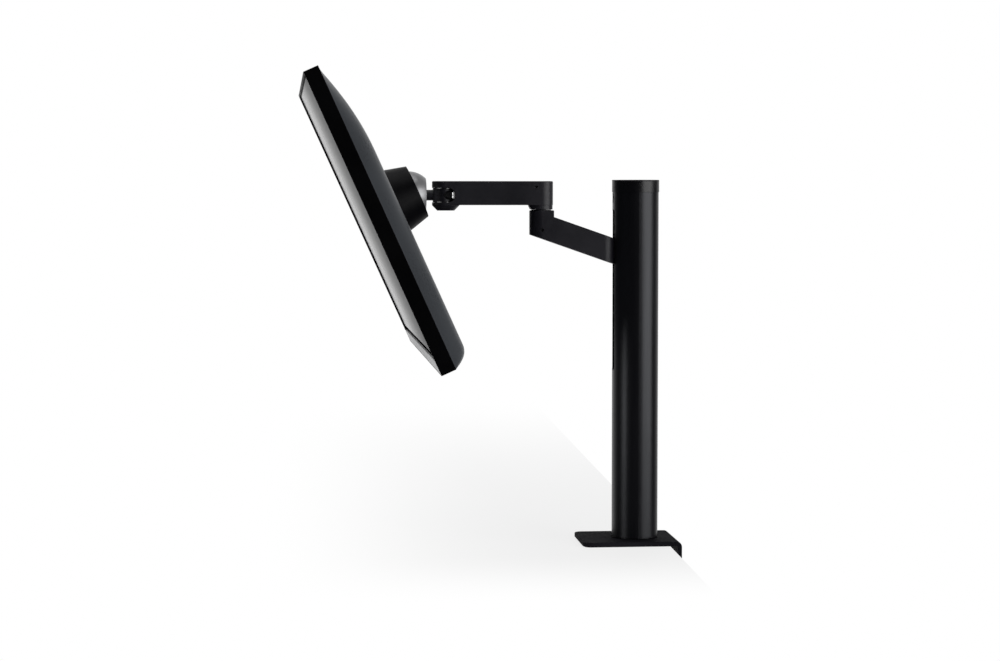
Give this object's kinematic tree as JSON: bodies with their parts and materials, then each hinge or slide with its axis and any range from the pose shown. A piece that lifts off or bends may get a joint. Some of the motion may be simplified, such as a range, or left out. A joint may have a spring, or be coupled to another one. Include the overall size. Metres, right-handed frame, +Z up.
{
  "type": "monitor arm",
  "caption": "Desk-clamped post with a height carriage and two folding arm links that carries a tilting, turning flat display.",
  "frame": {"origin": "on the desk surface, at the post's axis, which is the underside of the base pad", "axes": "+Z up along the post, the screen faces -Y, the clamp's flange hangs on the +Y side, +X is to the right of someone facing the screen's back"},
  "size_m": [0.613, 0.4729, 0.7019],
  "materials": {
    "black_powder": "satin black powder coat",
    "black_cap": "dark moulded cap with a polished edge",
    "black_cover": "satin black moulding",
    "silver_dome": "satin silver grey",
    "shell_grey": "dark blue grey moulding, fine grain",
    "edge_black": "near black moulding",
    "screen": "anti-glare screen face",
    "chin_silver": "light silver strip",
    "steel": "zinc plated steel",
    "black_steel": "black oxide steel",
    "bright_rod": "hard chromed rod",
    "alloy": "drawn aluminium",
    "bronze": "sintered bronze",
    "rubber": "black rubber",
    "nylon": "natural nylon",
    "board": "circuit board"
  },
  "bodies": {
    "clamp": {"base_plate": "black_powder", "base_pad": "rubber", "post_spigot": "steel", "spigot_screws": "steel", "swivel_washers": "nylon", "spigot_nut": "steel", "lower_jaw": "black_powder", "jaw_bolts": "black_steel"},
    "clamp_pad": {"clamp_pad_rubber": "rubber", "clamp_pad_cup": "steel"},
    "clamp_screw": {"clamp_screw": "steel", "clamp_knob": "black_cover"},
    "post": {"post_tube": "black_powder", "bottom_hub": "alloy", "hub_bush": "bronze", "spring_seat": "alloy", "guide_rail": "alloy", "rail_screws": "steel", "travel_bumpers": "rubber", "top_cap": "black_powder", "cap_disc": "black_cap", "stop_screw": "black_steel", "gas_spring_cylinder": "black_steel"},
    "carriage": {"carriage_block": "alloy", "glide_pads": "nylon", "gas_spring_rod": "bright_rod", "arm_screws": "steel", "lower_arm": "black_powder", "elbow_bushes": "bronze", "elbow_washer": "black_cover", "elbow_cover": "black_cover", "friction_screw": "black_steel"},
    "upper_arm": {"upper_arm": "black_powder", "elbow_shaft": "steel", "elbow_nut": "steel", "shaft_set_screw": "black_steel", "swivel_pin": "black_steel", "swivel_head_washers": "black_cover"},
    "head": {"neck_knuckle": "black_powder", "tension_screw": "black_steel", "dome": "silver_dome", "tilt_fork": "steel", "fork_screws": "steel"},
    "tilter": {"tilt_shaft": "steel", "tilt_bracket": "steel", "tilt_washers": "nylon", "shroud": "black_cover", "pivot_disc": "nylon", "pivot_nut": "steel"},
    "display": {"mount_plate": "steel", "mount_screws": "steel", "chassis": "steel", "main_board": "board", "backlight": "nylon", "lcd_panel": "screen", "chin_bezel": "chin_silver", "mid_frame": "edge_black", "back_shell": "shell_grey", "port_panel": "edge_black"},
    "button": {"menu_button": "edge_black"}
  },
  "joints": [
    {"name": "post_swivel", "type": "hinge", "parent": "clamp", "child": "post", "pos_m": [0, 0, 0.032], "axis": [0, 0, 1], "range_deg": [-100, 100]},
    {"name": "height", "type": "slide", "parent": "post", "child": "carriage", "axis": [0, 0, 1], "range_m": [-0.11, 0.02]},
    {"name": "elbow", "type": "hinge", "parent": "carriage", "child": "upper_arm", "pos_m": [0, -0.1175, 0.412], "axis": [0, 0, 1], "range_deg": [-110, 110]},
    {"name": "head_swivel", "type": "hinge", "parent": "upper_arm", "child": "head", "pos_m": [0, -0.2372, 0.43025], "axis": [0, 0, -1], "range_deg": [-70, 70]},
    {"name": "tilt", "type": "hinge", "parent": "head", "child": "tilter", "pos_m": [0, -0.2802, 0.43025], "axis": [1, 0, 0], "range_deg": [-49.3, 0.7]},
    {"name": "pivot", "type": "hinge", "parent": "tilter", "child": "display", "pos_m": [0, -0.2802, 0.43025], "axis": [0, 0.9114, 0.4115], "range_deg": [-90, 0]},
    {"name": "menu_press", "type": "slide", "parent": "display", "child": "button", "axis": [0, -0.4115, 0.9114], "range_m": [0, 0.0015], "stiffness_N_per_m": 900},
    {"name": "clamp_feed", "type": "slide", "parent": "clamp", "child": "clamp_pad", "axis": [0, 0, 1], "range_m": [-0.032, 0.016]},
    {"name": "clamp_turn", "type": "hinge", "parent": "clamp_pad", "child": "clamp_screw", "pos_m": [0, 0.004, -0.08], "axis": [0, 0, 1], "range_deg": [-3852, 1932]}
  ],
  "couplings": [
    {"joint": "clamp_turn", "follows": "clamp_feed", "rad_per_m": 2094.4}
  ]
}
